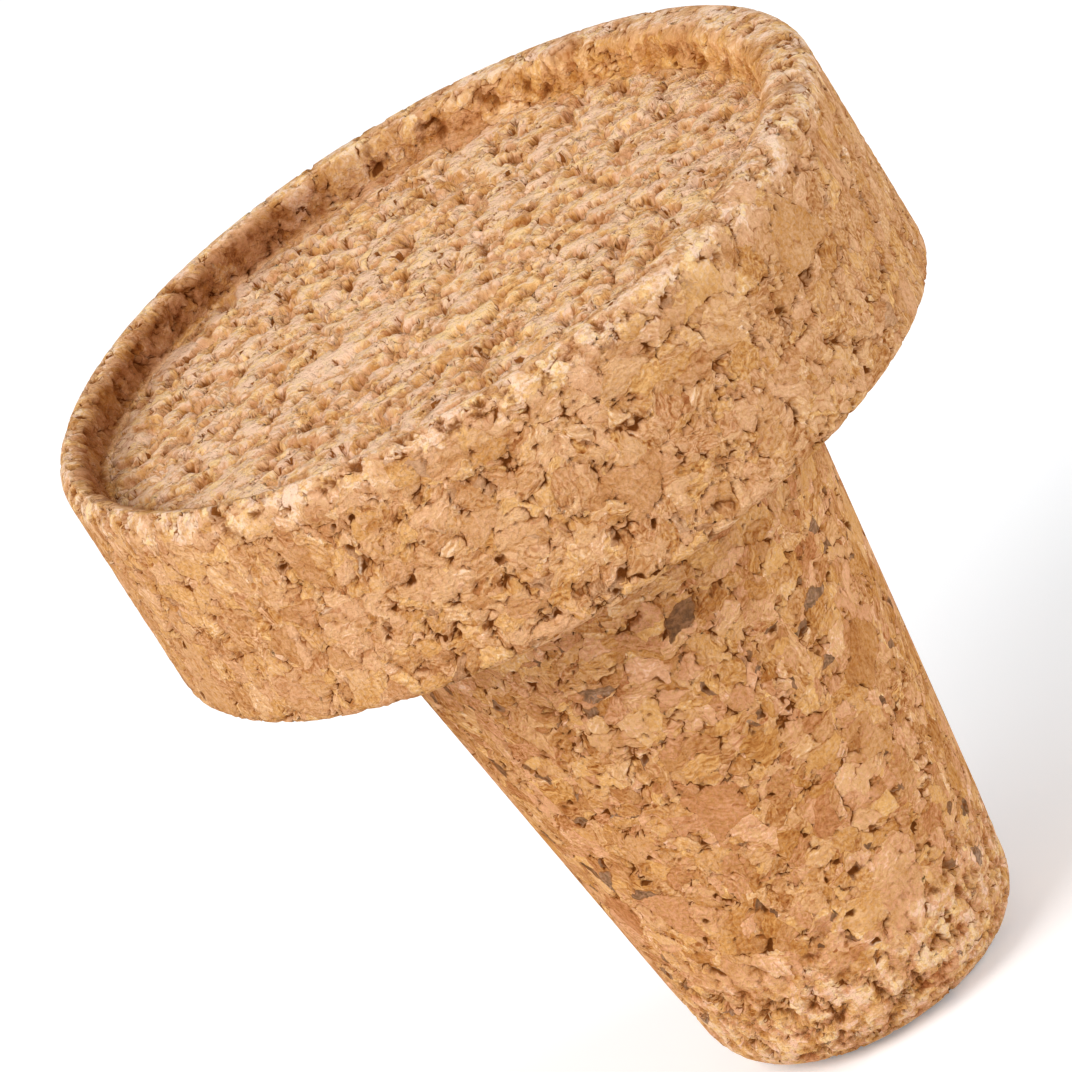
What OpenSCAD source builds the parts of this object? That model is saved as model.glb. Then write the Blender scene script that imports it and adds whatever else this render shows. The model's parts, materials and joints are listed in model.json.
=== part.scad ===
// Tapered cork bottle stopper with a broad round head.
// One piece: the head has a shallow round recess in its top, a flat shoulder
// underneath that meets the bottle's mouth, and a tapered plug with a rounded nose.
// Millimetres, +Z up. The origin is the centre of the plug's flat end, which the
// stopper stands on, and Z is the axis that the whole section is turned about.

/* [Head] */
// Diameter of the head
head_d = 38; // [32:0.5:50]
// Height of the head, from its shoulder to its rim
head_h = 11.3; // [7:0.1:20]
// Rounding of the head's upper outer edge
head_top_round = 1; // [0.2:0.1:1.2]
// Rounding of the head's lower outer edge, round the shoulder
head_low_round = 0.5; // [0.2:0.1:1.5]

/* [Recess] */
// Width of the rim between the head's side and the recess
rim_w = 2; // [1.8:0.1:6]
// Depth of the recess below the rim
recess_depth = 2.2; // [1.5:0.1:4]
// Rounding of the rim's inner edge
rim_inner_round = 0.5; // [0.1:0.1:0.6]
// Fillet between the recess's wall and its floor
recess_fillet = 0.6; // [0.1:0.1:0.8]

/* [Plug] */
// Length of the plug, from its flat end to the shoulder
plug_l = 29.7; // [20:0.1:45]
// Diameter of the plug where it meets the shoulder
plug_root_d = 22.5; // [20:0.1:26]
// Diameter of the plug's end, measured to the corner that its nose rounds off
plug_end_d = 15; // [12:0.1:18]
// Rounding of the plug's nose
nose_round = 3; // [0.5:0.1:4]
// Fillet between the plug and the shoulder
root_fillet = 0.5; // [0.2:0.1:2]

/* [Hidden] */
$fn = 128;

// Heights of the shoulder, the rim and the recess's floor
shoulder_z = plug_l;
rim_z = shoulder_z + head_h;
recess_floor_z = rim_z - recess_depth;

// Radii of the section's straight faces
head_r = head_d / 2;
recess_r = head_r - rim_w;
plug_root_r = plug_root_d / 2;
plug_end_r = plug_end_d / 2;

// Sharp corners of the half section, before any of them is rounded
plug_end = [plug_end_r, 0];
plug_root = [plug_root_r, shoulder_z];
head_low = [head_r, shoulder_z];
head_top = [head_r, rim_z];
rim_inner = [recess_r, rim_z];
recess_edge = [recess_r, recess_floor_z];
end_centre = [0, 0];
recess_centre = [0, recess_floor_z];

cork = [0.82, 0.60, 0.41];

// Unit vector from one point towards another
function toward(from, to) = (to - from) / norm(to - from);

// Half of the angle at a corner, between its two sides
function half_angle(corner, side_a, side_b) =
    acos(toward(corner, side_a) * toward(corner, side_b)) / 2;

// Distance from a corner to where an arc that rounds it meets each side
function tangent_length(corner, side_a, side_b, radius) =
    radius / tan(half_angle(corner, side_a, side_b));

// Centre of the arc that rounds a corner
function arc_centre(corner, side_a, side_b, radius) =
    let (half = half_angle(corner, side_a, side_b),
         bisector = toward(corner, side_a) + toward(corner, side_b))
    corner + bisector / norm(bisector) * radius / sin(half);

// The sliver between a corner and the arc that rounds it. Taken away it rounds an
// outer corner, and added it fills an inner one. Its tip reaches past the corner, as
// far as the arc's centre lies on the other side, so that it never only touches.
module corner_sliver(corner, side_a, side_b, radius) {
    reach = tangent_length(corner, side_a, side_b, radius);
    centre = arc_centre(corner, side_a, side_b, radius);
    tip = 2 * corner - centre;
    difference() {
        polygon([tip,
                 corner + toward(corner, side_a) * reach,
                 centre,
                 corner + toward(corner, side_b) * reach]);
        translate(centre) circle(r = radius);
    }
}

// Half section with sharp corners, from the axis outwards
module sharp_section() {
    polygon([end_centre, plug_end, plug_root, head_low,
             head_top, rim_inner, recess_edge, recess_centre]);
}

// Half section with every edge rounded or filleted
module stopper_section() {
    difference() {
        union() {
            sharp_section();
            corner_sliver(plug_root, plug_end, head_low, root_fillet);
            corner_sliver(recess_edge, rim_inner, recess_centre, recess_fillet);
        }
        corner_sliver(plug_end, end_centre, plug_root, nose_round);
        corner_sliver(head_low, plug_root, head_top, head_low_round);
        corner_sliver(head_top, head_low, rim_inner, head_top_round);
        corner_sliver(rim_inner, head_top, recess_edge, rim_inner_round);
    }
}

// The stopper: its half section turned once round the axis
module stopper() {
    color(cork) rotate_extrude() stopper_section();
}

stopper();
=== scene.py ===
import json
from collections import namedtuple
from math import acos, radians, tan, tau

import bmesh
import bpy
from bpy.props import FloatProperty, FloatVectorProperty, PointerProperty
from mathutils import Matrix, Vector


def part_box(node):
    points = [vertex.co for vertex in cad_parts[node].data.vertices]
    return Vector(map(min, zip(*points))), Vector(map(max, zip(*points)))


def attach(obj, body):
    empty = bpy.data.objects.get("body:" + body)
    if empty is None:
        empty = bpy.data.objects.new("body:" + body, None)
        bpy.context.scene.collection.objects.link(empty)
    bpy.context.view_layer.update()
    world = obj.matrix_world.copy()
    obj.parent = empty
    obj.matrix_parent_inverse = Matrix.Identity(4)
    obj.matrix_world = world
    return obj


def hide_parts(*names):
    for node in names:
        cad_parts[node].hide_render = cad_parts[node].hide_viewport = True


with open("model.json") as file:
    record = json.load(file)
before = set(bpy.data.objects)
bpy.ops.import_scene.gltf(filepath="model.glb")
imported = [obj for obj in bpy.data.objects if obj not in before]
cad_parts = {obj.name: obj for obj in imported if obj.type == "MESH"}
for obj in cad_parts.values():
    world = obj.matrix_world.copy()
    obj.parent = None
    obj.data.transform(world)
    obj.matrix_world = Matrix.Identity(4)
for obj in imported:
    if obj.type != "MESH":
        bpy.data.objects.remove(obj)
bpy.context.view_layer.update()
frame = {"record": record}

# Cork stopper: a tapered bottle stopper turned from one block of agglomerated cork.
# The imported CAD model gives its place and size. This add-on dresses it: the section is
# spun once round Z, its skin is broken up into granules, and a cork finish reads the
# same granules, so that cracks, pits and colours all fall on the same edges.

bl_info = {
    "name": "Cork Stopper",
    "version": (1, 0, 0),
    "blender": (4, 5, 0),
    "location": "3D Viewport > Sidebar > Cork",
    "description": "Models a tapered cork bottle stopper and the studio it stands in",
    "category": "Object",
}

MM = 0.001
# A place times this is without its height
LEVELLED = (1.0, 1.0, 0.0)
NODE = "stopper"
low_corner, high_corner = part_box(NODE)
mounts = {mount["name"]: Vector(mount["pos_m"]) for mount in frame["record"]["mounts"]}

# What the relief leaves on the mesh for the finish to read
REST = "rest_place"
DEPTH = "relief_depth"
FACES = "face_masks"
NOSE = "nose_mask"


def colour_property(name, description, default):
    """A colour that a user would change"""
    return FloatVectorProperty(name=name, description=description, default=default,
                               subtype="COLOR", size=3, min=0.0, max=1.0)


def size_property(name, description, metres):
    """A length that a user would change"""
    return FloatProperty(name=name, description=description, default=metres, unit="LENGTH")


def power_property(name, description, watts):
    """A lamp's power, which a user would change"""
    return FloatProperty(name=name, description=description, default=watts, unit="POWER")


class StopperShape(bpy.types.PropertyGroup):
    """Sizes of the stopper's section"""

    head_diameter: size_property(
        "Head Diameter", "Width of the head across its side", high_corner.x - low_corner.x)
    rim_height: size_property(
        "Rim Height", "Height of the rim above the plug's flat end", high_corner.z)
    shoulder_height: size_property(
        "Shoulder Height", "Height of the head's underside", mounts["shoulder"].z)
    recess_height: size_property(
        "Recess Floor Height", "Height of the recess's floor", mounts["recess_floor"].z)
    rim_width: size_property(
        "Rim Width", "Width of the rim round the recess", 2.0 * MM)
    root_diameter: size_property(
        "Plug Root", "Width of the plug at the shoulder", 22.5 * MM)
    end_diameter: size_property(
        "Plug End", "Width of the plug's end before its nose is rounded", 15.0 * MM)
    nose_round: size_property(
        "Nose", "Rounding of the plug's end", 3.0 * MM)
    root_fillet: size_property(
        "Root Fillet", "Fillet between the plug and the shoulder", 0.5 * MM)
    low_round: size_property(
        "Lower Edge", "Rounding of the head's lower edge", 0.5 * MM)
    top_round: size_property(
        "Upper Edge", "Rounding of the head's upper edge", 1.0 * MM)
    rim_inner_round: size_property(
        "Rim Inner Edge", "Rounding of the rim's edge at the recess", 0.5 * MM)
    recess_fillet: size_property(
        "Recess Fillet", "Fillet round the recess's floor", 0.6 * MM)
    recess_shift: FloatVectorProperty(
        name="Recess Shift", description="How far the recess lies off the head's centre",
        default=(-0.6 * MM, -0.25 * MM, 0.0), subtype="TRANSLATION", unit="LENGTH")
    recess_flare: size_property(
        "Recess Flare", "How far the recess's wall leans out towards the rim", 0.3 * MM)


class CorkFinish(bpy.types.PropertyGroup):
    """The cork's granules and colours"""

    large_granule: size_property(
        "Large Granules", "Size of the largest granules", 2.3 * MM)
    granule: size_property(
        "Granules", "Size of most of the granules", 1.05 * MM)
    crumb: size_property(
        "Crumbs", "Size of the crumbs between the granules", 0.52 * MM)
    pore_depth: size_property(
        "Pore Depth", "How deep pores and cracks go", 0.22 * MM)
    # The darkest tone, which painted shade reaches deep in a hollow
    deep_tone: colour_property(
        "Deep Tone", "Cork deep in a hollow", (0.22, 0.056, 0.012))
    dark_tone: colour_property(
        "Dark Tone", "The darkest granules", (0.37, 0.128, 0.036))
    brown_tone: colour_property(
        "Brown Tone", "The brown granules", (0.53, 0.238, 0.080))
    tan_tone: colour_property(
        "Tan Tone", "Most of the granules", (0.658, 0.339, 0.145))
    pale_tone: colour_property(
        "Pale Tone", "The pale granules", (0.77, 0.430, 0.195))
    cream_tone: colour_property(
        "Cream Tone", "The palest cork", (0.90, 0.605, 0.355))
    pore_colour: colour_property(
        "Pores", "The bottom of a pore between granules", (0.16, 0.044, 0.008))
    # A torn hollow's dark colour: partly the cork's own, partly painted shade
    tear_colour: colour_property(
        "Tears", "The bottom of a hollow in torn cork", (0.26, 0.082, 0.018))
    crack_colour: colour_property(
        "Cracks", "The cracks between granules", (0.27, 0.080, 0.016))
    seam_colour: colour_property(
        "Seams", "The closed seams between granules", (0.40, 0.150, 0.042))
    burnt_colour: colour_property(
        "Bark", "The few granules of dark bark", (0.110, 0.060, 0.032))


class CorkStudio(bpy.types.PropertyGroup):
    """The floor, the lamps and the camera"""

    floor_colour: colour_property("Floor", "Colour of the floor", (0.92, 0.92, 0.92))
    key_power: power_property("Key", "Power of the key lamp", 2.75)
    side_power: power_property("Side", "Power of the side lamp", 0.5)
    fill_power: power_property("Fill", "Power of the fill lamp", 1.98)
    key_colour: colour_property("Key Colour", "Colour of the key lamp", (1.0, 1.0, 1.0))
    side_colour: colour_property("Side Colour", "Colour of the side lamp", (1.0, 1.0, 1.0))
    fill_colour: colour_property("Fill Colour", "Colour of the fill lamp", (0.84, 0.92, 1.0))
    world_colour: colour_property("World Colour", "Colour all round", (1.0, 1.0, 1.0))
    world_strength: FloatProperty(
        name="World", description="Strength of the light from all round", default=0.5)
    floor_glow: FloatProperty(
        name="Floor Glow", description="How far the camera sees the floor whitened",
        default=0.2)
    focal_length: FloatProperty(
        name="Focal Length", description="The camera's focal length in mm", default=381.2)
    elevation: FloatProperty(
        name="Elevation", description="How far the camera looks down",
        default=radians(21.36), unit="ROTATION")
    roll: FloatProperty(
        name="Roll", description="How far the camera is turned round its own axis",
        default=radians(-32.18), unit="ROTATION")
    distance: FloatProperty(
        name="Distance", description="From the camera to the place it looks at",
        default=0.4998, unit="LENGTH")


# ---------------------------------------------------------------- node building


class Wiring:
    """Adds nodes to a shader or geometry tree and wires them up"""

    def __init__(self, tree):
        self.tree = tree

    def node(self, kind, **settings):
        made = self.tree.nodes.new(kind)
        for name, value in settings.items():
            setattr(made, name, value)
        return made

    def feed(self, socket, value):
        if isinstance(value, bpy.types.NodeSocket):
            self.tree.links.new(value, socket)
        elif value is not None:
            socket.default_value = value

    def attribute(self, name, output):
        return self.node("ShaderNodeAttribute", attribute_name=name).outputs[output]

    def math(self, operation, a, b=None, c=None):
        made = self.node("ShaderNodeMath", operation=operation)
        for socket, value in zip(made.inputs, (a, b, c)):
            self.feed(socket, value)
        return made.outputs[0]

    def product(self, first, *others):
        for other in others:
            first = self.math("MULTIPLY", first, other)
        return first

    def vector(self, operation, a, b=None):
        made = self.node("ShaderNodeVectorMath", operation=operation)
        for socket, value in zip(made.inputs, (a, b)):
            self.feed(socket, value)
        return made.outputs["Value" if operation == "LENGTH" else "Vector"]

    def scaled(self, a, factor):
        made = self.node("ShaderNodeVectorMath", operation="SCALE")
        self.feed(made.inputs[0], a)
        self.feed(made.inputs["Scale"], factor)
        return made.outputs["Vector"]

    def ramp(self, value, bounds, levels=(0.0, 1.0), smooth=True):
        """From the first level at the first bound to the second at the second"""
        kind = "SMOOTHSTEP" if smooth else "LINEAR"
        made = self.node("ShaderNodeMapRange", interpolation_type=kind)
        for socket, given in zip(made.inputs, (value, *bounds, *levels)):
            self.feed(socket, given)
        return made.outputs[0]

    def blend(self, kind, sockets, output, factor, a, b, **settings):
        made = self.node("ShaderNodeMix", data_type=kind, **settings)
        for index, given in zip(sockets, (factor, a, b)):
            self.feed(made.inputs[index], given)
        return made.outputs[output]

    def mix(self, factor, a, b):
        return self.blend("FLOAT", (0, 2, 3), 0, factor, a, b)

    def mix_vector(self, factor, a, b):
        return self.blend("VECTOR", (0, 4, 5), 1, factor, a, b)

    def mix_colour(self, factor, a, b):
        return self.blend("RGBA", (0, 6, 7), 2, factor, a, b)

    def tinted(self, factor, colour, tint):
        return self.blend("RGBA", (0, 6, 7), 2, factor, colour, tint, blend_type="MULTIPLY")

    def parts(self, vector):
        made = self.node("ShaderNodeSeparateXYZ")
        self.feed(made.inputs[0], vector)
        return made.outputs

    def noise(self, place, size, detail=2.0, roughness=0.55):
        """Noise of about that size in mm: its value and its colour"""
        made = self.node("ShaderNodeTexNoise")
        self.feed(made.inputs["Vector"], place)
        made.inputs["Scale"].default_value = 1.0 / size
        made.inputs["Detail"].default_value = detail
        made.inputs["Roughness"].default_value = roughness
        return made.outputs[0], made.outputs[1]

    def voronoi(self, feature, place, size):
        made = self.node("ShaderNodeTexVoronoi", feature=feature)
        self.feed(made.inputs["Vector"], place)
        made.inputs["Scale"].default_value = 1.0 / size
        return made.outputs

    def cells(self, place, size):
        """Cells of about that size in mm: each one's colour, and how far out in it"""
        made = self.voronoi("F1", place, size)
        return made["Color"], made["Distance"]

    def edges(self, place, size):
        """Distance in mm from the nearest edge of those cells"""
        made = self.voronoi("DISTANCE_TO_EDGE", place, size)
        return self.math("MULTIPLY", made["Distance"], size)


def centred(wire, colour, amount):
    """A random colour as an offset of up to half that amount each way"""
    return wire.scaled(wire.vector("SUBTRACT", colour, (0.5, 0.5, 0.5)), amount)


def varied(wire, base, chance, amount, where=None):
    """The base with that amount of a chance from 0 to 1, counted from its middle"""
    away = wire.math("SUBTRACT", chance, 0.5)
    if where is not None:
        away = wire.math("MULTIPLY", away, where)
    return wire.math("MULTIPLY_ADD", away, amount, base)


def radius_of(wire, place):
    """How far a place is from the stopper's axis"""
    return wire.vector("LENGTH", wire.vector("MULTIPLY", place, LEVELLED))


# ---------------------------------------------------------------- the stopper's faces

# A mask goes from none at its first bound to whole at its second. The bounds are
# heights in mm above the plug's flat end and radii in mm round the axis.
HEAD_HEIGHTS = (29.3, 29.8)
RECESS_HEIGHTS = (38.2, 38.6)
RECESS_RADII = (17.6, 17.1)
FLOOR_RADII = (16.9, 16.4)
WALL_FOOT_HEIGHTS = (38.8, 39.3)
WALL_TOP_HEIGHTS = (41.0, 40.4)
RIM_HEIGHTS = (38.8, 40.8)
RIM_RADII = (16.9, 17.4)
MOVED_HEIGHTS = (38.0, 38.4)
MOVED_RADII = (18.6, 17.2)
NOSE_HEIGHTS = (9.5, 3.0)
NOSE_RAGGED_SIZE = 2.5
NOSE_RAGGED = 7.0
# How crumbly the recess's wall and the rim are, where the floor and the nose are 1
WALL_CRUMBLY = 0.6
RIM_CRUMBLY = 0.85

Zones = namedtuple("Zones", "floor wall rim head nose crumbly")


def face_masks(wire, place):
    """Masks of the recess, its floor, its wall and the rim, for a place in mm"""
    z = wire.parts(place)[2]
    radius = radius_of(wire, place)
    inside = wire.product(wire.ramp(z, RECESS_HEIGHTS), wire.ramp(radius, RECESS_RADII))
    floor = wire.product(inside, wire.ramp(radius, FLOOR_RADII))
    wall = wire.product(
        inside, wire.ramp(z, WALL_FOOT_HEIGHTS), wire.ramp(z, WALL_TOP_HEIGHTS))
    rim = wire.product(wire.ramp(z, RIM_HEIGHTS), wire.ramp(radius, RIM_RADII))
    return inside, floor, wall, rim


def nose_mask(wire, place):
    """Where the plug's nose is worn, up to a ragged line"""
    ragged = wire.noise(place, NOSE_RAGGED_SIZE)[0]
    height = varied(wire, wire.parts(place)[2], ragged, NOSE_RAGGED)
    return wire.ramp(height, NOSE_HEIGHTS)


def zones_at(wire, place, floor, wall, rim, nose):
    """The zones that the cork's look depends on, with where its cut is torn to crumbs"""
    head = wire.ramp(wire.parts(place)[2], HEAD_HEIGHTS)
    inside = wire.math("MAXIMUM", floor, wire.product(wall, WALL_CRUMBLY))
    ends = wire.math("MAXIMUM", nose, wire.product(rim, RIM_CRUMBLY))
    return Zones(floor, wall, rim, head, nose, wire.math("MAXIMUM", inside, ends))


# ---------------------------------------------------------------- the granules

# How the granules' edges sway and jag, in mm
SWAY_SIZE = 1.4
SWAY = 1.3
JAG_SIZE = 0.4
JAG = 0.2
TORN_JAG = 0.55
# Granules are stretched along one axis of their own
GRANULE_STRETCH = (1.0, 1.0, 0.5)
# Shares of the large and of the middling granules that stay whole
LARGE_WHOLE = 0.04
MIDDLE_WHOLE = 0.66
MIDDLE_WHOLE_TORN = 0.3
# Shares of the granules that aren't dark bark
NOT_BARK = 0.982
NOT_BARK_CRUMB = 0.94
NOT_BARK_TORN = 0.985
# A crumb's corner counts as this many times farther off, so that fewer pores open there
CRUMB_CORNER = 1.5
# Shares of the crumbs that haven't fallen out, and how far out in one its hole reaches
NOT_FALLEN = 0.96
NOT_FALLEN_TORN = 0.97
FALLEN_REACH = (0.46, 0.26)
# Hollows torn out by the cut: their size in mm, and the noise between shut and open
TEAR_SIZE = 1.0
TORN_OPEN = (0.55, 0.66)
# A noise says how far gaps open. Pores and cracks go from shut at their first gap to
# their widest at the second, and the sides take up these shares of the width.
GAP_SIZE = 0.8
PORE_GAPS = (0.45, 0.72)
PORE_SHUT = 0.005
PORE_WIDENING = 1.6
PORE_SIDES = (1.0, 0.45)
CRACK_GAPS = (0.6, 0.85)
CRACK_SHUT = 0.002
CRACK_SIDES = (1.0, 0.2)

Grain = namedtuple("Grain", "tone edge corner gap along tear pit bark")


def bent_places(wire, place, crumbly, large_size):
    """The place swayed, the large granule there, and the place turned with its grain"""
    sway = centred(wire, wire.noise(place, SWAY_SIZE, detail=3.0, roughness=0.5)[1], SWAY)
    bent = wire.vector("ADD", place, sway)
    large = wire.cells(bent, large_size)[0]
    turn = wire.node("ShaderNodeVectorRotate", rotation_type="EULER_XYZ")
    wire.feed(turn.inputs["Vector"], bent)
    wire.feed(turn.inputs["Rotation"], wire.scaled(large, tau))
    along = wire.vector("MULTIPLY", turn.outputs[0], GRANULE_STRETCH)
    jag = wire.mix(crumbly, JAG, TORN_JAG)
    jagged = centred(wire, wire.noise(place, JAG_SIZE, detail=1.0)[1], jag)
    return bent, large, wire.vector("ADD", along, jagged)


def granules(wire, place, crumbly, cork):
    """The bonded granules at a place in mm, the same in every tree that asks"""
    large_size = cork.large_granule / MM
    middle_size = cork.granule / MM
    small_size = cork.crumb / MM
    bent, large, along = bent_places(wire, place, crumbly, large_size)
    middle = wire.cells(along, middle_size)[0]
    small, reach = wire.cells(along, small_size)
    is_split = wire.math("GREATER_THAN", wire.parts(large)[0], LARGE_WHOLE)
    whole = wire.mix(crumbly, MIDDLE_WHOLE, MIDDLE_WHOLE_TORN)
    is_crumbs = wire.math("GREATER_THAN", wire.parts(middle)[0], whole)
    is_crumbs = wire.product(is_crumbs, is_split)
    tone = wire.mix_vector(is_split, large, middle)
    tone = wire.mix_vector(is_crumbs, tone, small)
    rare = wire.mix(is_crumbs, NOT_BARK, wire.mix(crumbly, NOT_BARK_CRUMB, NOT_BARK_TORN))
    bark = wire.product(wire.math("GREATER_THAN", wire.parts(tone)[2], rare), is_split)

    large_edge = wire.edges(bent, large_size)
    middle_edge = wire.edges(along, middle_size)
    small_edge = wire.edges(along, small_size)
    nearest = wire.math("MINIMUM", large_edge, middle_edge)
    edge = wire.mix(is_split, large_edge, nearest)
    edge = wire.mix(is_crumbs, edge, wire.math("MINIMUM", nearest, small_edge))
    corner = wire.math("ADD", large_edge, middle_edge)
    crumb_corner = wire.product(wire.math("ADD", nearest, small_edge), CRUMB_CORNER)
    corner = wire.mix(is_crumbs, corner, wire.math("MINIMUM", corner, crumb_corner))

    gap = wire.noise(place, GAP_SIZE, detail=1.0)[0]
    kept_share = wire.mix(crumbly, NOT_FALLEN, NOT_FALLEN_TORN)
    fallen = wire.math("GREATER_THAN", wire.parts(small)[2], kept_share)
    fallen = wire.product(fallen, wire.ramp(reach, FALLEN_REACH))
    tear = wire.noise(place, TEAR_SIZE, detail=4.0, roughness=0.65)[0]
    torn = wire.product(wire.ramp(tear, TORN_OPEN), crumbly)
    pit = wire.math("MAXIMUM", fallen, torn)
    tear = wire.product(wire.math("SUBTRACT", tear, 0.5), crumbly)
    return Grain(tone, edge, corner, gap, along, tear, pit, bark)


def open_pore(wire, grain, widest):
    """How deep in a pore between granules: one in its middle and none outside it"""
    widths = (PORE_SHUT, widest * PORE_WIDENING)
    width = wire.ramp(grain.gap, PORE_GAPS, widths, smooth=False)
    pore = wire.ramp(wire.math("DIVIDE", grain.corner, width), PORE_SIDES)
    return wire.math("MAXIMUM", pore, grain.pit)


def open_crack(wire, grain, widest, crumbly):
    """How deep in a crack between whole granules, as open_pore gives it for pores"""
    width = wire.ramp(grain.gap, CRACK_GAPS, (CRACK_SHUT, widest), smooth=False)
    crack = wire.ramp(wire.math("DIVIDE", grain.edge, width), CRACK_SIDES)
    return wire.product(crack, wire.math("SUBTRACT", 1.0, crumbly))


# ---------------------------------------------------------------- the relief

# How rough each zone is, as a factor on the height of its lumps
PLUG_ROUGH = 0.35
HEAD_ROUGH = 0.85
FLOOR_ROUGH = 1.4
RIM_ROUGH = 1.2
NOSE_ROUGH = 1.1
# Heights in mm: a step from granule to granule, an edge worn down, a lump's dome
PLUG_STEP = 0.07
HEAD_STEP = 0.08
TORN_STEP = 0.04
WORN_REACH = (0.16, 0.0)
WORN_GAPS = (0.35, 0.6)
WORN = -0.07
WORN_TORN = -0.03
LUMP_SIZE = 0.6
LUMP_JAG_SIZE = 0.5
LUMP_JAG = 0.7
DOME = -0.12
DOME_TORN = -0.02
# The broken surface: swells, folds where the cut has torn it, and the floor's hollows
SWELL_SIZE = 0.9
SWELL_TOP = 0.7
SWELL = 0.28
FOLD_TOP = 0.62
FOLD = 0.7
TEAR_DEPTH = -1.2
BROAD_SIZE = 1.7
# Widest pores and cracks, and the deepest that any hollow goes
RELIEF_PORE = 0.15
RELIEF_CRACK = 0.12
DEEPEST = -0.85
# The skin is brought back up, and it stays this far under the plain one
SKIN_RISE = 0.07
RIM_RISE = 0.1
SKIN_TOP = -0.04
# On the plug, under the head and in the recess the skin stands this much higher
LOW_RISE = 0.05
LOW_START_HEIGHTS = (3.0, 6.0)
LOW_END_HEIGHTS = (30.2, 29.8)
LOW_RADII = (18.5, 18.0)
RECESS_RISES = (0.0, 0.36)


def moved_recess(wire, position, shape):
    """The plain skin with its recess moved off centre and its wall leant out, in metres"""
    plain = wire.scaled(position, 1.0 / MM)
    moved = wire.product(
        wire.ramp(radius_of(wire, plain), MOVED_RADII),
        wire.ramp(wire.parts(plain)[2], MOVED_HEIGHTS))
    rising = [height * MM for height in RIM_HEIGHTS]
    lean = wire.product(moved, wire.ramp(
        wire.parts(position)[2], rising, (0.0, shape.recess_flare)))
    outward = wire.vector("NORMALIZE", wire.vector("MULTIPLY", position, LEVELLED))
    base = wire.vector("ADD", position, wire.scaled(Vector(shape.recess_shift), moved))
    return plain, wire.vector("ADD", base, wire.scaled(outward, lean))


def granule_heights(wire, place, zones, grain):
    """Height of the granular skin in mm, before the zone's roughness scales it"""
    crumbly = zones.crumbly
    step = wire.mix(crumbly, wire.mix(zones.head, PLUG_STEP, HEAD_STEP), TORN_STEP)
    level = wire.product(wire.math("SUBTRACT", wire.parts(grain.tone)[1], 1.0), step)
    worn = wire.product(
        wire.ramp(grain.edge, WORN_REACH), wire.mix(crumbly, WORN, WORN_TORN),
        wire.ramp(grain.gap, WORN_GAPS))
    jag = centred(wire, wire.noise(place, LUMP_JAG_SIZE)[1], LUMP_JAG)
    lump = wire.cells(wire.vector("ADD", place, jag), LUMP_SIZE)[1]
    dome = wire.product(
        wire.math("POWER", lump, 2.0), wire.mix(crumbly, DOME, DOME_TORN))
    swell = wire.noise(place, SWELL_SIZE, detail=4.0, roughness=0.7)[0]
    fold = wire.product(wire.math("SUBTRACT", swell, FOLD_TOP), FOLD)
    fold = wire.math("MULTIPLY_ADD", grain.tear, TEAR_DEPTH, fold)
    broad = wire.noise(place, BROAD_SIZE, roughness=0.6)[0]
    fold = varied(wire, fold, broad, zones.floor)
    swell = wire.product(wire.math("SUBTRACT", swell, SWELL_TOP), SWELL)
    swell = wire.mix(crumbly, swell, fold)
    return wire.math("ADD", wire.math("ADD", level, worn), wire.math("ADD", dome, swell))


def roughened(wire, height, zones, grain, cork):
    """That height scaled by its zone, with pores and cracks cut into it"""
    ends = wire.mix(zones.nose, wire.mix(zones.rim, FLOOR_ROUGH, RIM_ROUGH), NOSE_ROUGH)
    rough = wire.mix(zones.crumbly, wire.mix(zones.head, PLUG_ROUGH, HEAD_ROUGH), ends)
    hollow = wire.math(
        "MAXIMUM", open_pore(wire, grain, RELIEF_PORE),
        open_crack(wire, grain, RELIEF_CRACK, zones.crumbly))
    hollow = wire.product(
        hollow, -cork.pore_depth / MM, wire.math("MAXIMUM", rough, 1.0))
    height = wire.math("ADD", wire.product(height, rough), hollow)
    height = wire.math("ADD", wire.math("MAXIMUM", height, DEEPEST), SKIN_RISE)
    height = wire.math("MULTIPLY_ADD", zones.rim, RIM_RISE, height)
    return wire.math("MINIMUM", height, SKIN_TOP)


def lifted(wire, height, place, inside):
    """That height raised on the plug, under the head and in the recess"""
    z = wire.parts(place)[2]
    below = wire.product(
        wire.ramp(z, LOW_START_HEIGHTS), wire.ramp(z, LOW_END_HEIGHTS),
        wire.ramp(radius_of(wire, place), LOW_RADII))
    within = wire.product(inside, wire.ramp(z, WALL_TOP_HEIGHTS, RECESS_RISES))
    return wire.math("ADD", height, wire.math("MULTIPLY_ADD", below, LOW_RISE, within))


def kept(wire, geometry, name, kind, value):
    """Keeps a value on the mesh's points under that name"""
    made = wire.node("GeometryNodeStoreNamedAttribute", data_type=kind, domain="POINT")
    wire.feed(made.inputs["Geometry"], geometry)
    made.inputs["Name"].default_value = name
    wire.feed(made.inputs["Value"], value)
    return made.outputs[0]


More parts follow.
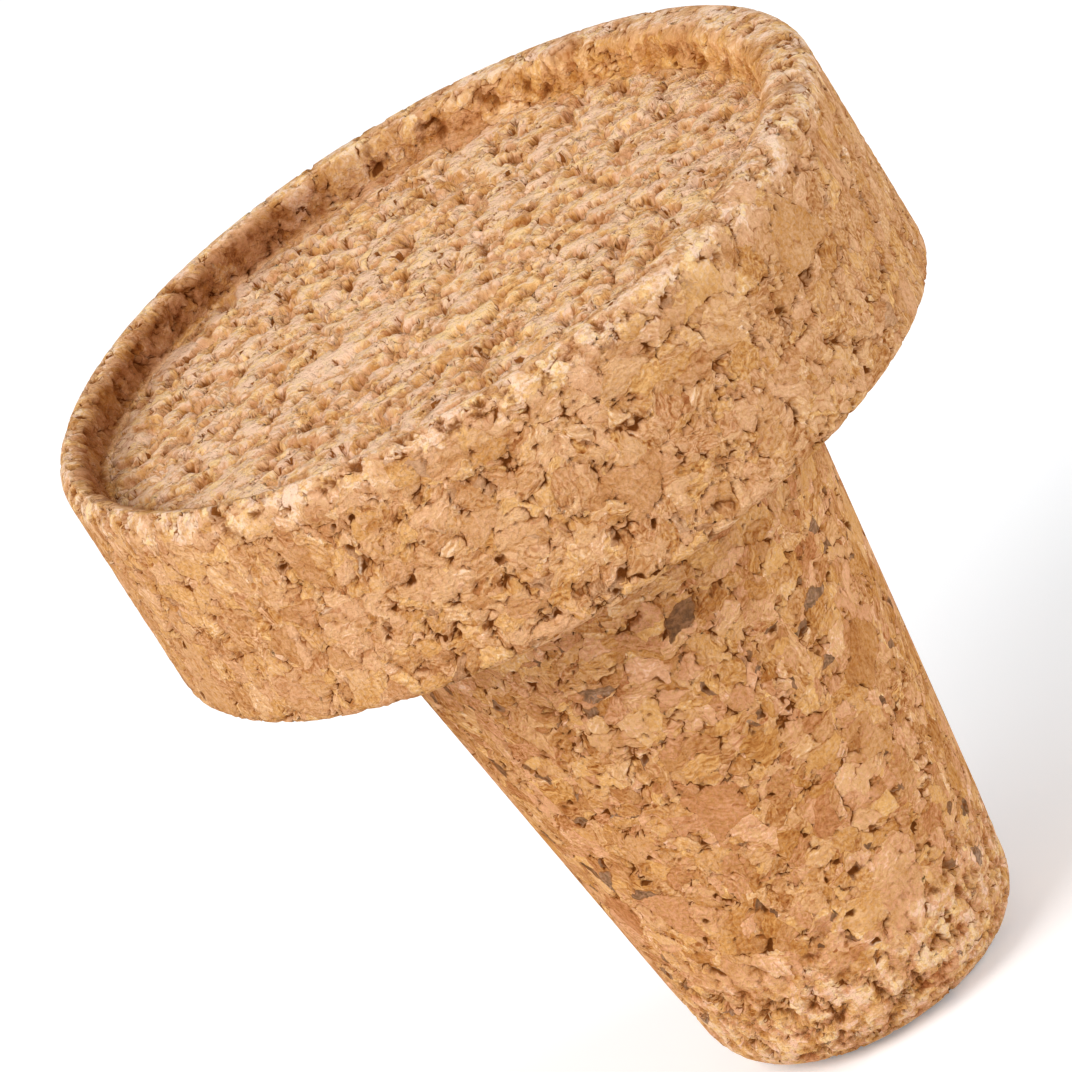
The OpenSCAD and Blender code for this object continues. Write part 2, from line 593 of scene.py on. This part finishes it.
def relief_tree(shape, cork):
    """Geometry nodes that break the smooth skin up into granules, pores and cracks"""
    tree = bpy.data.node_groups.new("Cork Relief", "GeometryNodeTree")
    for way in ("INPUT", "OUTPUT"):
        tree.interface.new_socket(
            "Geometry", in_out=way, socket_type="NodeSocketGeometry")
    wire = Wiring(tree)
    source = wire.node("NodeGroupInput").outputs[0]
    position = wire.node("GeometryNodeInputPosition").outputs[0]
    normal = wire.node("GeometryNodeInputNormal").outputs[0]
    plain, base = moved_recess(wire, position, shape)
    inside, floor, wall, rim = face_masks(wire, plain)
    place = wire.scaled(base, 1.0 / MM)
    zones = zones_at(wire, place, floor, wall, rim, nose_mask(wire, place))
    grain = granules(wire, place, zones.crumbly, cork)
    depth = granule_heights(wire, place, zones, grain)
    height = roughened(wire, depth, zones, grain, cork)
    height = lifted(wire, height, place, inside)

    faces = wire.node("ShaderNodeCombineXYZ")
    for socket, mask in zip(faces.inputs, (floor, wall, rim)):
        wire.feed(socket, mask)
    geometry = kept(wire, source, REST, "FLOAT_VECTOR", base)
    geometry = kept(wire, geometry, DEPTH, "FLOAT", depth)
    geometry = kept(wire, geometry, NOSE, "FLOAT", zones.nose)
    geometry = kept(wire, geometry, FACES, "FLOAT_VECTOR", faces.outputs[0])
    moved = wire.node("GeometryNodeSetPosition")
    wire.feed(moved.inputs["Geometry"], geometry)
    push = wire.scaled(normal, wire.product(height, MM))
    wire.feed(moved.inputs["Position"], wire.vector("ADD", base, push))
    wire.feed(wire.node("NodeGroupOutput").inputs[0], moved.outputs[0])
    return tree


# ---------------------------------------------------------------- the finish

# The tone's value goes from 0, deep in a hollow where shade is painted, to 1, the palest.
# These are its level and how much each thing moves it, on the plug, on the head's side or
# where it's torn.
LEVEL = 0.6
PLUG_SPREAD = 0.4
HEAD_SPREAD = 0.25
TORN_SPREAD = 0.36
STREAK_SIZE = 0.15
STREAK_LEAST = 0.4
STREAK_GAIN = 1.2
STREAK_TORN = 0.35
SPECK_SIZE = 0.18
SPECK = 0.5
BLOTCH_SIZE = 1.6
MOTTLE = 0.3
MOTTLE_TORN = 1.0
MOTTLE_NOSE = 0.7
# Painted shade and light: the relief's depth darkens the cork in hollows and pales it on
# lumps
HOLLOW_SHADE_MIDDLE = 0.12
HOLLOW_SHADE_MIDDLE_TORN = 0.155
HOLLOW_SHADE_GAIN = 1.0
HOLLOW_SHADE_GAIN_TORN = 1.5
FLAKE_SIZE = 0.42
FLAKE_JAG = 0.2
FLAKE_JAG_TORN = 0.5
FLAKE = 0.22
# Painted shade: crumbs are darker towards their creases and paler in their middles
CREASE_SHADE = 0.15
CHUNK_SIZE = 0.4
CHUNK = 0.35
# Painted shade: darker where the cut's torn hollows sink the relief
TEAR_SHADE = -1.5
BOTTOM_PALER = 0.55
# The floor is paler partly as its cork and partly as painted light on its upward face
FLOOR_PALER_AND_LIT = 0.21
RIM_PALER = 0.21
NOSE_PALER = 0.1
# Depths in mm of a torn hollow's bottom, where the cork is plain again, and how much a
# pore covers from none of it to the whole
BOTTOM_DEPTHS = (-0.2, -0.42)
BOTTOM_COVERS = (1.0, 0.2)
# A granule's fibres lie along it, each granule's in its own place in the noise
FIBRE_STRETCH = (1.0, 1.0, 0.28)
FIBRE_SHIFT = 7.0
# What sways the hue, and the hues at which it starts to turn pink or yellow and has
HUE_BLOTCH = 0.5
HUE_TINT = 2.4
HUE_FLAKE = 0.8
PINK_HUES = (0.8, 1.2)
YELLOW_HUES = (0.6, 0.25)
PINK_PLUG = 1.0
PINK_HEAD = 0.5
# Tints that the colour is multiplied by
PINK_TINT = (1.02, 0.94, 1.08, 1.0)
YELLOW_TINT = (1.03, 1.0, 0.78, 1.0)
HEAD_TINT = (1.0, 1.03, 1.12, 1.0)
FLOOR_TINT = (1.0, 0.97, 0.95, 1.0)
RIM_TINT = (1.0, 1.02, 1.07, 1.0)
FLECK_TINT = (0.66, 0.48, 0.36, 1.0)
SHOULDER_SHADOW_TINT = (0.6, 0.49, 0.42, 1.0)
PAINTED_SHADE_TINT = (0.47, 0.34, 0.26, 1.0)
PAINTED_LIGHT_TINT = (1.05, 1.02, 0.83, 1.0)
FLECK_SIZE = 0.3
FLECK_VALUES = (0.64, 0.76)
FLECK = 0.8
# How much a bark granule covers, by its streaks, and on the head's side
BARK_STREAKS = (-0.3, 0.2)
BARK_COVERS = (0.9, 0.6)
BARK_PLUG = 1.0
BARK_HEAD = 0.4
# Closed seams, cracks and pores, in mm from a granule's edge, and how much they cover
SEAM_REACH = (0.09, 0.0)
SEAM_GAPS = (0.38, 0.65)
SEAM_COVERS = (0.0, 0.5)
CRUMB_SEAM_REACH = (0.14, 0.0)
CRUMB_SEAM = 0.12
FINISH_CRACK = 0.1
CRACK_COVER = 0.8
FINISH_PORE = 0.1
# Painted shadow: the plug is dimmer up towards the shoulder, where the head's shadow falls
UNDER_SHOULDER = (29.75, 29.7)
SHOULDER_SHADOW_HEIGHTS = (22.5, 29.7)
SHOULDER_SHADES = (0.0, 0.36)
# Painted shade and light: the wall and the floor's edge are dim on one side and amber, as if
# lit, on the other, and the side goes from -1 to 1 across the head
SKIRT_RADII = (14.8, 16.6)
SKIRT_SHADES = (0.0, 0.5)
PAINTED_SHADE_SIDE = (0.4, -0.45)
PAINTED_LIGHT_SIDE = (-0.1, 0.85)
# Height in mm of the grit and the crumbs that are only bump
PLUG_GRIT = 0.14
HEAD_GRIT = 0.175
TORN_GRIT = 0.1
CRUMB_BUMP = 0.28
CORK_ROUGHNESS = 0.85

Skin = namedtuple("Skin", "speck tint flake reach blotch chunk streak fleck")


def opaque(colour):
    """A property's colour as a socket takes it"""
    return (*colour, 1.0)


def fine_skin(wire, place, crumbly, grain):
    """The cork's own detail, finer than its granules"""
    lie = wire.vector("ADD", grain.along, wire.scaled(grain.tone, FIBRE_SHIFT))
    lie = wire.vector("MULTIPLY", lie, FIBRE_STRETCH)
    streak = wire.noise(lie, STREAK_SIZE, detail=1.0, roughness=0.5)[0]
    streak = wire.math("SUBTRACT", streak, 0.5)
    fleck = wire.noise(lie, FLECK_SIZE, detail=1.0, roughness=0.5)[0]
    fleck = wire.ramp(fleck, FLECK_VALUES)
    speck, speck_colour = wire.noise(place, SPECK_SIZE, roughness=0.6)
    jag = wire.mix(crumbly, FLAKE_JAG, FLAKE_JAG_TORN)
    jagged = wire.vector("ADD", place, centred(wire, speck_colour, jag))
    flake, reach = wire.cells(jagged, FLAKE_SIZE)
    blotch = wire.noise(place, BLOTCH_SIZE, detail=3.0, roughness=0.65)[0]
    chunk = wire.noise(place, CHUNK_SIZE, detail=3.0, roughness=0.7)[0]
    tint = wire.parts(speck_colour)[0]
    return Skin(speck, tint, wire.parts(flake), reach, blotch, chunk, streak, fleck)


def tone_value(wire, zones, grain, skin, depth, bottom):
    """How pale the cork is, from 0 to 1, with painted shade in hollows, creases and tears"""
    crumbly = zones.crumbly
    tone = wire.parts(grain.tone)
    spread = wire.mix(
        crumbly, wire.mix(zones.head, PLUG_SPREAD, HEAD_SPREAD), TORN_SPREAD)
    value = varied(wire, LEVEL, tone[1], spread)
    lined = wire.math("MULTIPLY_ADD", tone[0], STREAK_GAIN, STREAK_LEAST)
    lined = wire.product(lined, wire.mix(crumbly, 1.0, STREAK_TORN))
    value = wire.math("MULTIPLY_ADD", skin.streak, lined, value)
    value = varied(wire, value, skin.speck, SPECK)
    mottle = wire.mix(crumbly, MOTTLE, wire.mix(zones.nose, MOTTLE_TORN, MOTTLE_NOSE))
    value = varied(wire, value, skin.blotch, mottle)
    # Painted shade in the relief's hollows, painted light on its lumps
    hollow = wire.math("ADD", depth, wire.mix(crumbly, HOLLOW_SHADE_MIDDLE, HOLLOW_SHADE_MIDDLE_TORN))
    hollow_shade_gain = wire.mix(crumbly, HOLLOW_SHADE_GAIN, HOLLOW_SHADE_GAIN_TORN)
    value = wire.math("MULTIPLY_ADD", hollow, hollow_shade_gain, value)
    value = varied(wire, value, skin.flake[0], FLAKE, crumbly)
    # Floor paler: partly its cork, partly painted light
    value = wire.math("MULTIPLY_ADD", zones.floor, FLOOR_PALER_AND_LIT, value)
    value = wire.math("MULTIPLY_ADD", zones.rim, RIM_PALER, value)
    value = wire.math("MULTIPLY_ADD", zones.nose, NOSE_PALER, value)
    # Painted shade in the torn hollows
    value = wire.math("MULTIPLY_ADD", grain.tear, TEAR_SHADE, value)
    # Painted shade in the crumbs' creases
    crease_shade = wire.product(wire.math("SUBTRACT", FLAKE_SIZE, skin.reach), crumbly)
    value = wire.math("MULTIPLY_ADD", crease_shade, CREASE_SHADE, value)
    value = varied(wire, value, skin.chunk, CHUNK, crumbly)
    return wire.math("MULTIPLY_ADD", bottom, BOTTOM_PALER, value)


def cork_tones(wire, cork, value):
    """The cork's colour for that value"""
    tones = (cork.deep_tone, cork.dark_tone, cork.brown_tone,
             cork.tan_tone, cork.pale_tone, cork.cream_tone)
    made = wire.node("ShaderNodeValToRGB")
    wire.feed(made.inputs[0], value)
    stops = made.color_ramp.elements
    stops[0].color = opaque(tones[0])
    stops[1].color = opaque(tones[-1])
    for index in range(1, len(tones) - 1):
        stops.new(index / (len(tones) - 1)).color = opaque(tones[index])
    return made.outputs[0]


def with_hues(wire, zones, grain, skin, colour):
    """That colour turned pink or yellow by chance, and by its zone"""
    hue = wire.math("MULTIPLY_ADD", skin.blotch, HUE_BLOTCH, wire.parts(grain.tone)[2])
    hue = varied(wire, hue, skin.tint, HUE_TINT)
    hue = varied(wire, hue, skin.flake[1], HUE_FLAKE, zones.crumbly)
    pink = wire.product(
        wire.ramp(hue, PINK_HUES), wire.mix(zones.head, PINK_PLUG, PINK_HEAD))
    colour = wire.tinted(pink, colour, PINK_TINT)
    colour = wire.tinted(wire.ramp(hue, YELLOW_HUES), colour, YELLOW_TINT)
    colour = wire.tinted(zones.head, colour, HEAD_TINT)
    colour = wire.tinted(zones.floor, colour, FLOOR_TINT)
    return wire.tinted(zones.rim, colour, RIM_TINT)


def with_bark(wire, zones, grain, skin, cork, colour):
    """That colour with the granules of bark, and with flecks along the fibres"""
    bark = wire.product(
        grain.bark, wire.ramp(skin.streak, BARK_STREAKS, BARK_COVERS),
        wire.mix(zones.head, BARK_PLUG, BARK_HEAD))
    colour = wire.mix_colour(bark, colour, opaque(cork.burnt_colour))
    return wire.tinted(wire.product(skin.fleck, FLECK), colour, FLECK_TINT)


def with_openings(wire, zones, grain, cork, bottom, colour):
    """That colour with the seams, cracks and pores between granules"""
    crumbly = zones.crumbly
    seam = wire.product(
        wire.ramp(grain.edge, SEAM_REACH), wire.ramp(grain.gap, SEAM_GAPS, SEAM_COVERS))
    crumb_seam = wire.product(
        wire.ramp(grain.edge, CRUMB_SEAM_REACH), wire.product(crumbly, CRUMB_SEAM))
    seam = wire.math("MAXIMUM", seam, crumb_seam)
    colour = wire.mix_colour(seam, colour, opaque(cork.seam_colour))
    crack = wire.product(open_crack(wire, grain, FINISH_CRACK, crumbly), CRACK_COVER)
    colour = wire.mix_colour(crack, colour, opaque(cork.crack_colour))
    # Pores take their own dark colour; torn hollows take the tear colour, partly painted
    # shade
    dark = wire.mix_colour(crumbly, opaque(cork.pore_colour), opaque(cork.tear_colour))
    pore = wire.product(
        open_pore(wire, grain, FINISH_PORE), wire.ramp(bottom, (0.0, 1.0), BOTTOM_COVERS))
    return wire.mix_colour(pore, colour, dark)


def with_painted_light_and_shade(wire, place, zones, colour):
    """That colour with a painted shadow under the shoulder and painted shade and light in
    the recess
    """
    x, _, z = wire.parts(place)
    # Painted shadow of the head on the plug, strongest just under the shoulder
    shade = wire.product(
        wire.ramp(z, UNDER_SHOULDER), wire.ramp(z, SHOULDER_SHADOW_HEIGHTS, SHOULDER_SHADES))
    colour = wire.tinted(shade, colour, SHOULDER_SHADOW_TINT)
    radius = radius_of(wire, place)
    side = wire.math("DIVIDE", x, radius)
    skirt = wire.product(zones.floor, wire.ramp(radius, SKIRT_RADII, SKIRT_SHADES))
    painted_band = wire.math("MAXIMUM", zones.wall, skirt)
    # Painted shade on the side of the wall and the floor's edge away from the lamps
    colour = wire.tinted(
        wire.product(painted_band, wire.ramp(side, PAINTED_SHADE_SIDE)), colour, PAINTED_SHADE_TINT)
    # Painted light: amber on the side of the wall and the floor's edge that the lamps face
    return wire.tinted(
        wire.product(painted_band, wire.ramp(side, PAINTED_LIGHT_SIDE)), colour, PAINTED_LIGHT_TINT)


def fine_bump(wire, zones, skin):
    """A normal with the grit and the crumbs that the mesh is too coarse for"""
    grit = wire.mix(
        zones.crumbly, wire.mix(zones.head, PLUG_GRIT, HEAD_GRIT), TORN_GRIT)
    crumb = wire.product(skin.chunk, zones.crumbly, CRUMB_BUMP)
    bump = wire.node("ShaderNodeBump")
    bump.inputs["Strength"].default_value = 1.0
    bump.inputs["Distance"].default_value = MM
    wire.feed(bump.inputs["Height"], wire.math("MULTIPLY_ADD", skin.speck, grit, crumb))
    return bump.outputs[0]


def agglomerated_cork(cork):
    """The cork's colour, grain and pores, on the same granules as the relief"""
    finish = bpy.data.materials.new("Agglomerated Cork")
    finish.use_nodes = True
    finish.node_tree.nodes.clear()
    wire = Wiring(finish.node_tree)
    place = wire.scaled(wire.attribute(REST, "Vector"), 1.0 / MM)
    masks = wire.parts(wire.attribute(FACES, "Vector"))
    zones = zones_at(wire, place, *masks, wire.attribute(NOSE, "Fac"))
    grain = granules(wire, place, zones.crumbly, cork)
    skin = fine_skin(wire, place, zones.crumbly, grain)

    depth = wire.attribute(DEPTH, "Fac")
    bottom = wire.product(wire.ramp(depth, BOTTOM_DEPTHS), zones.crumbly)
    value = tone_value(wire, zones, grain, skin, depth, bottom)
    colour = cork_tones(wire, cork, value)
    colour = with_hues(wire, zones, grain, skin, colour)
    colour = with_bark(wire, zones, grain, skin, cork, colour)
    colour = with_openings(wire, zones, grain, cork, bottom, colour)
    colour = with_painted_light_and_shade(wire, place, zones, colour)

    shader = wire.node("ShaderNodeBsdfPrincipled")
    wire.feed(shader.inputs["Base Color"], colour)
    wire.feed(shader.inputs["Normal"], fine_bump(wire, zones, skin))
    shader.inputs["Roughness"].default_value = CORK_ROUGHNESS
    shader.inputs["Specular IOR Level"].default_value = 0.0
    out = wire.node("ShaderNodeOutputMaterial")
    wire.feed(out.inputs["Surface"], shader.outputs[0])
    return finish


# ---------------------------------------------------------------- the stopper

# How finely the section is cut and spun, and how fine the skin is that the relief
# works on, before it is thinned to that many triangles
SECTION_STEP = 1.5 * MM
ARC_SEGMENTS = 6
SPIN_STEPS = 180
WELD_DISTANCE = MM / 1000
VOXEL = 0.11 * MM
TRIANGLES = 195000


def corner_offset(before, corner, after, radius):
    """How far from a corner the arc that rounds it starts, along either side"""
    half = acos((before - corner).normalized().dot((after - corner).normalized())) / 2
    return radius / tan(half)


def stopper_section(shape):
    """A bmesh of the half section as one chain of edges, rounded and cut into short steps"""
    head_r = shape.head_diameter / 2
    recess_r = head_r - shape.rim_width
    corners = (
        (0.0, low_corner.z, 0.0),
        (shape.end_diameter / 2, low_corner.z, shape.nose_round),
        (shape.root_diameter / 2, shape.shoulder_height, shape.root_fillet),
        (head_r, shape.shoulder_height, shape.low_round),
        (head_r, shape.rim_height, shape.top_round),
        (recess_r, shape.rim_height, shape.rim_inner_round),
        (recess_r, shape.recess_height, shape.recess_fillet),
        (0.0, shape.recess_height, 0.0),
    )
    mesh = bmesh.new()
    chain = [mesh.verts.new((radius, 0.0, height)) for radius, height, _ in corners]
    for first, second in zip(chain, chain[1:]):
        mesh.edges.new((first, second))
    places = [vertex.co.copy() for vertex in chain]
    for index in range(1, len(corners) - 1):
        offset = corner_offset(*places[index - 1:index + 2], corners[index][2])
        bmesh.ops.bevel(
            mesh, geom=[chain[index]], offset=offset, offset_type="OFFSET",
            segments=ARC_SEGMENTS, profile=0.5, affect="VERTICES", material=-1)
    for edge in list(mesh.edges):
        cuts = round(edge.calc_length() / SECTION_STEP) - 1
        if cuts > 0:
            bmesh.ops.subdivide_edges(mesh, edges=[edge], cuts=cuts)
    return mesh


def plain_stopper(shape):
    """A closed bmesh of the stopper: its section spun once round Z"""
    mesh = stopper_section(shape)
    bmesh.ops.spin(
        mesh, geom=mesh.verts[:] + mesh.edges[:], cent=(0, 0, 0), axis=(0, 0, 1),
        dvec=(0, 0, 0), angle=tau, steps=SPIN_STEPS, use_merge=True)
    bmesh.ops.remove_doubles(mesh, verts=mesh.verts, dist=WELD_DISTANCE)
    bmesh.ops.recalc_face_normals(mesh, faces=mesh.faces)
    return mesh


def linked_object(context, name, mesh_name, mesh):
    """A new object of a bmesh, which is freed, in the scene's own collection"""
    data = bpy.data.meshes.new(mesh_name)
    mesh.to_mesh(data)
    mesh.free()
    made = bpy.data.objects.new(name, data)
    context.scene.collection.objects.link(made)
    return made


def even_triangles(context, piece):
    """How many triangles the piece has before it is thinned"""
    thin = piece.modifiers["Thin"]
    thin.show_viewport = False
    depsgraph = context.evaluated_depsgraph_get()
    faces = piece.evaluated_get(depsgraph).data.polygons
    triangles = sum(face.loop_total - 2 for face in faces)
    thin.show_viewport = True
    return triangles


def apply_modifiers(context, piece):
    """Gives the piece the mesh that its modifiers make, and clears them"""
    depsgraph = context.evaluated_depsgraph_get()
    applied = bpy.data.meshes.new_from_object(
        piece.evaluated_get(depsgraph), preserve_all_data_layers=True, depsgraph=depsgraph)
    piece.modifiers.clear()
    piece.data = applied


class CORK_OT_stopper(bpy.types.Operator):
    """Model the stopper from its section and break its skin up into granules"""

    bl_idname = "cork.stopper"
    bl_label = "Cork Stopper"
    bl_options = {"REGISTER", "UNDO"}

    def execute(self, context):
        shape = context.scene.stopper_shape
        cork = context.scene.cork_finish
        piece = linked_object(
            context, "granular_cork", "Granular Cork", plain_stopper(shape))
        even = piece.modifiers.new("Even", "REMESH")
        even.mode = "VOXEL"
        even.voxel_size = VOXEL
        even.use_smooth_shade = True
        relief = piece.modifiers.new("Relief", "NODES")
        relief.node_group = relief_tree(shape, cork)
        thin = piece.modifiers.new("Thin", "DECIMATE")
        thin.ratio = TRIANGLES / even_triangles(context, piece)
        apply_modifiers(context, piece)
        piece.data.materials.clear()
        piece.data.materials.append(agglomerated_cork(cork))
        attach(piece, "root")
        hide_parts(NODE)
        return {"FINISHED"}


# ---------------------------------------------------------------- the studio

# Where the camera and the lamps look, and where the lamps stand and how wide they are
AIM = Vector((-2.47 * MM, 0.0, 27.07 * MM))
KEY_PLACE = (-0.36, -0.30, 0.48)
KEY_SIZE = 0.4
SIDE_PLACE = (-0.60, -0.10, 0.20)
SIDE_SIZE = 0.3
FILL_PLACE = (0.50, -0.28, 0.28)
FILL_SIZE = 0.4
FLOOR_REACH = 3.0
SENSOR_WIDTH = 36.0
CLIP_START = 0.01


def studio_floor(context, studio):
    """A plain pale floor, seen white where nothing shades it"""
    mesh = bmesh.new()
    bmesh.ops.create_grid(mesh, x_segments=1, y_segments=1, size=FLOOR_REACH)
    floor = linked_object(context, "studio_floor", "Floor", mesh)
    finish = bpy.data.materials.new("Studio Floor")
    finish.use_nodes = True
    shader = finish.node_tree.nodes["Principled BSDF"]
    shader.inputs["Base Color"].default_value = opaque(studio.floor_colour)
    shader.inputs["Roughness"].default_value = 1.0
    shader.inputs["Specular IOR Level"].default_value = 0.0
    shader.inputs["Emission Color"].default_value = (1.0, 1.0, 1.0, 1.0)
    wire = Wiring(finish.node_tree)
    seen = wire.node("ShaderNodeLightPath").outputs["Is Camera Ray"]
    wire.feed(shader.inputs["Emission Strength"], wire.product(seen, studio.floor_glow))
    floor.data.materials.append(finish)


def area_lamp(context, name, place, size, watts, colour):
    """A round lamp that looks at the stopper"""
    lamp = bpy.data.lights.new(name, "AREA")
    lamp.shape = "DISK"
    lamp.size = size
    lamp.energy = watts
    lamp.color = colour
    holder = bpy.data.objects.new(name, lamp)
    holder.location = place
    holder.rotation_euler = (AIM - Vector(place)).to_track_quat("-Z", "Y").to_euler()
    context.scene.collection.objects.link(holder)


def studio_world(scene, studio):
    """Plain light from all round"""
    world = bpy.data.worlds.new("Studio")
    world.use_nodes = True
    background = world.node_tree.nodes["Background"]
    background.inputs["Color"].default_value = opaque(studio.world_colour)
    background.inputs["Strength"].default_value = studio.world_strength
    scene.world = world


def studio_camera(scene, studio):
    """The camera, looking down at the stopper and turned round its own axis"""
    lens = bpy.data.cameras.new("Camera")
    lens.lens = studio.focal_length
    lens.sensor_width = SENSOR_WIDTH
    lens.clip_start = CLIP_START
    camera = bpy.data.objects.new("Camera", lens)
    turned = Matrix.Rotation(radians(90) - studio.elevation, 4, "X")
    turned = turned @ Matrix.Rotation(studio.roll, 4, "Z")
    back = turned.to_3x3() @ Vector((0, 0, 1))
    camera.matrix_world = Matrix.Translation(AIM + back * studio.distance) @ turned
    scene.collection.objects.link(camera)
    scene.camera = camera


class CORK_OT_studio(bpy.types.Operator):
    """Make the floor, the lamps, the world and the camera"""

    bl_idname = "cork.studio"
    bl_label = "Studio"
    bl_options = {"REGISTER", "UNDO"}

    def execute(self, context):
        scene = context.scene
        studio = scene.cork_studio
        studio_floor(context, studio)
        area_lamp(context, "key", KEY_PLACE, KEY_SIZE, studio.key_power, studio.key_colour)
        area_lamp(
            context, "side", SIDE_PLACE, SIDE_SIZE, studio.side_power, studio.side_colour)
        area_lamp(
            context, "fill", FILL_PLACE, FILL_SIZE, studio.fill_power, studio.fill_colour)
        studio_world(scene, studio)
        studio_camera(scene, studio)
        scene.view_settings.view_transform = "Standard"
        return {"FINISHED"}


# ---------------------------------------------------------------- the add-on


def list_properties(layout, group):
    """A row of the panel for each of the group's own properties"""
    for name in group.__annotations__:
        layout.prop(group, name)


class CORK_PT_panel(bpy.types.Panel):
    """Lists the add-on's operators and properties"""

    bl_label = "Cork Stopper"
    bl_idname = "CORK_PT_panel"
    bl_space_type = "VIEW_3D"
    bl_region_type = "UI"
    bl_category = "Cork"

    def draw(self, context):
        scene = context.scene
        self.layout.operator(CORK_OT_stopper.bl_idname)
        list_properties(self.layout.box(), scene.stopper_shape)
        list_properties(self.layout.box(), scene.cork_finish)
        self.layout.operator(CORK_OT_studio.bl_idname)
        list_properties(self.layout.box(), scene.cork_studio)


CLASSES = (StopperShape, CorkFinish, CorkStudio,
           CORK_OT_stopper, CORK_OT_studio, CORK_PT_panel)


def register():
    for item in CLASSES:
        bpy.utils.register_class(item)
    bpy.types.Scene.stopper_shape = PointerProperty(type=StopperShape)
    bpy.types.Scene.cork_finish = PointerProperty(type=CorkFinish)
    bpy.types.Scene.cork_studio = PointerProperty(type=CorkStudio)


def unregister():
    del bpy.types.Scene.cork_studio
    del bpy.types.Scene.cork_finish
    del bpy.types.Scene.stopper_shape
    for item in reversed(CLASSES):
        bpy.utils.unregister_class(item)


def main():
    register()
    bpy.ops.cork.stopper()
    bpy.ops.cork.studio()


if __name__ == "__main__":
    main()
